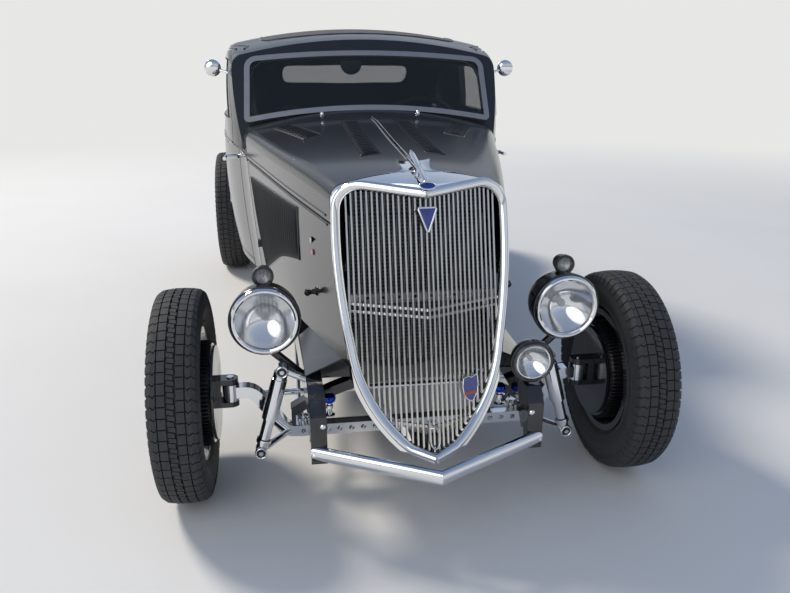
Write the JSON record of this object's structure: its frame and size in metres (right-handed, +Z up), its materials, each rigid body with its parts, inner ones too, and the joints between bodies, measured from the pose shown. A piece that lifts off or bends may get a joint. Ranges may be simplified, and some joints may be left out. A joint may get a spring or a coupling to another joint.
{
  "type": "fenderless two-door hot rod coupe",
  "caption": "Low steel coupe with open wheels, a tall pointed grille, a hinged hood, rear-hinged doors and a boot lid, for rolling and steering in scenes.",
  "frame": {"origin": "on the ground, under the middle of the car's outer box", "axes": "-Y is forwards, +X is the car's left side, +Z is up"},
  "size_m": [1.6702, 3.922, 1.5189],
  "materials": {
    "satin_black_paint": "satin",
    "roof_cloth": "grained",
    "chassis_black": "gloss",
    "chrome_plate": "polished",
    "polished_steel": "polished",
    "window_glass": "clear",
    "lamp_glass": "clear",
    "red_lens": "gloss",
    "tyre_rubber": "matte",
    "wheel_black": "gloss",
    "engine_iron": "cast",
    "radiator_black": "matte",
    "pipe_steel": "satin",
    "seat_leather": "grained",
    "steering_plastic": "gloss"
  },
  "bodies": {
    "chassis": {"cowl": "satin_black_paint", "roof": "satin_black_paint", "roof_insert": "roof_cloth", "windscreen_frame": "polished_steel", "fixed_glass": "window_glass", "quarter_panel_left": "satin_black_paint", "quarter_panel_right": "satin_black_paint", "tail_panel": "satin_black_paint", "floor_pan": "chassis_black", "hood_sides": "satin_black_paint", "grille_shell": "chrome_plate", "grille_bars": "polished_steel", "radiator": "radiator_black", "engine_block": "engine_iron", "frame_rail_left": "chassis_black", "frame_rail_right": "chassis_black", "cross_members": "chassis_black", "bumper_bars": "chrome_plate", "front_axle": "chrome_plate", "leaf_springs": "chassis_black", "radius_rods": "chrome_plate", "shock_absorbers": "chrome_plate", "exhaust_pipes": "pipe_steel", "fuel_tank": "chassis_black", "rear_axle": "chassis_black", "lamp_stands": "chassis_black", "lamp_shells": "chrome_plate", "lamp_lenses": "lamp_glass", "tail_lamps": "red_lens", "dashboard": "satin_black_paint", "seat_cushion": "seat_leather", "seat_back": "seat_leather", "hood_hinge": "chrome_plate", "splash_aprons": "chassis_black"},
    "hood_left": {"hood_left": "satin_black_paint"},
    "door_left": {"door_left": "satin_black_paint", "door_glass_left": "window_glass", "door_fittings_left": "chrome_plate"},
    "knuckle_left": {"knuckle_left": "chassis_black"},
    "wheel_front_left": {"rim_front_left": "wheel_black", "tyre_front_left": "tyre_rubber"},
    "wheel_rear_left": {"rim_rear_left": "wheel_black", "tyre_rear_left": "tyre_rubber"},
    "hood_right": {"hood_right": "satin_black_paint"},
    "door_right": {"door_right": "satin_black_paint", "door_glass_right": "window_glass", "door_fittings_right": "chrome_plate"},
    "knuckle_right": {"knuckle_right": "chassis_black"},
    "wheel_front_right": {"rim_front_right": "wheel_black", "tyre_front_right": "tyre_rubber"},
    "wheel_rear_right": {"rim_rear_right": "wheel_black", "tyre_rear_right": "tyre_rubber"},
    "deck_lid": {"deck_lid": "satin_black_paint"},
    "tie_rod": {"tie_rod": "chrome_plate"},
    "steering_wheel": {"steering_wheel": "steering_plastic"}
  },
  "joints": [
    {"name": "steer_left", "type": "hinge", "parent": "chassis", "child": "knuckle_left", "pos_m": [0.59, -1.42, 0.342], "axis": [0, 0, 1], "range_deg": [-28, 28]},
    {"name": "steer_right", "type": "hinge", "parent": "chassis", "child": "knuckle_right", "pos_m": [-0.59, -1.42, 0.342], "axis": [0, 0, 1], "range_deg": [-28, 28]},
    {"name": "tie_rod_swing", "type": "hinge", "parent": "knuckle_left", "child": "tie_rod", "pos_m": [0.59, -1.285, 0.262], "axis": [0, 0, 1], "range_deg": [-28, 28]},
    {"name": "steering_wheel_turn", "type": "hinge", "parent": "chassis", "child": "steering_wheel", "pos_m": [0.3, 0.17, 1.015], "axis": [0, 0.8308, 0.5566], "range_deg": [-420, 420]},
    {"name": "roll_front_left", "type": "hinge", "parent": "knuckle_left", "child": "wheel_front_left", "pos_m": [0.729, -1.42, 0.342], "axis": [1, 0, 0], "continuous": true},
    {"name": "roll_rear_left", "type": "hinge", "parent": "chassis", "child": "wheel_rear_left", "pos_m": [0.74, 1.424, 0.388], "axis": [1, 0, 0], "continuous": true},
    {"name": "hood_left_lift", "type": "hinge", "parent": "chassis", "child": "hood_left", "pos_m": [0, -1.556, 1.06], "axis": [0, -0.998, -0.0626], "range_deg": [0, 60]},
    {"name": "door_left_swing", "type": "hinge", "parent": "chassis", "child": "door_left", "pos_m": [0.694, 0.643, 0.79], "axis": [0, 0, 1], "range_deg": [0, 65]},
    {"name": "roll_front_right", "type": "hinge", "parent": "knuckle_right", "child": "wheel_front_right", "pos_m": [-0.729, -1.42, 0.342], "axis": [1, 0, 0], "continuous": true},
    {"name": "roll_rear_right", "type": "hinge", "parent": "chassis", "child": "wheel_rear_right", "pos_m": [-0.74, 1.424, 0.388], "axis": [1, 0, 0], "continuous": true},
    {"name": "hood_right_lift", "type": "hinge", "parent": "chassis", "child": "hood_right", "pos_m": [0, -1.556, 1.06], "axis": [0, 0.998, 0.0626], "range_deg": [0, 60]},
    {"name": "door_right_swing", "type": "hinge", "parent": "chassis", "child": "door_right", "pos_m": [-0.694, 0.643, 0.79], "axis": [0, 0, -1], "range_deg": [0, 65]},
    {"name": "deck_lid_lift", "type": "hinge", "parent": "chassis", "child": "deck_lid", "pos_m": [0, 1.2175, 1.095], "axis": [1, 0, 0], "range_deg": [0, 55]}
  ],
  "couplings": [
    {"joint": "steer_right", "follows": "steer_left", "ratio": 1},
    {"joint": "tie_rod_swing", "follows": "steer_left", "ratio": -1},
    {"joint": "steering_wheel_turn", "follows": "steer_left", "ratio": 15}
  ]
}
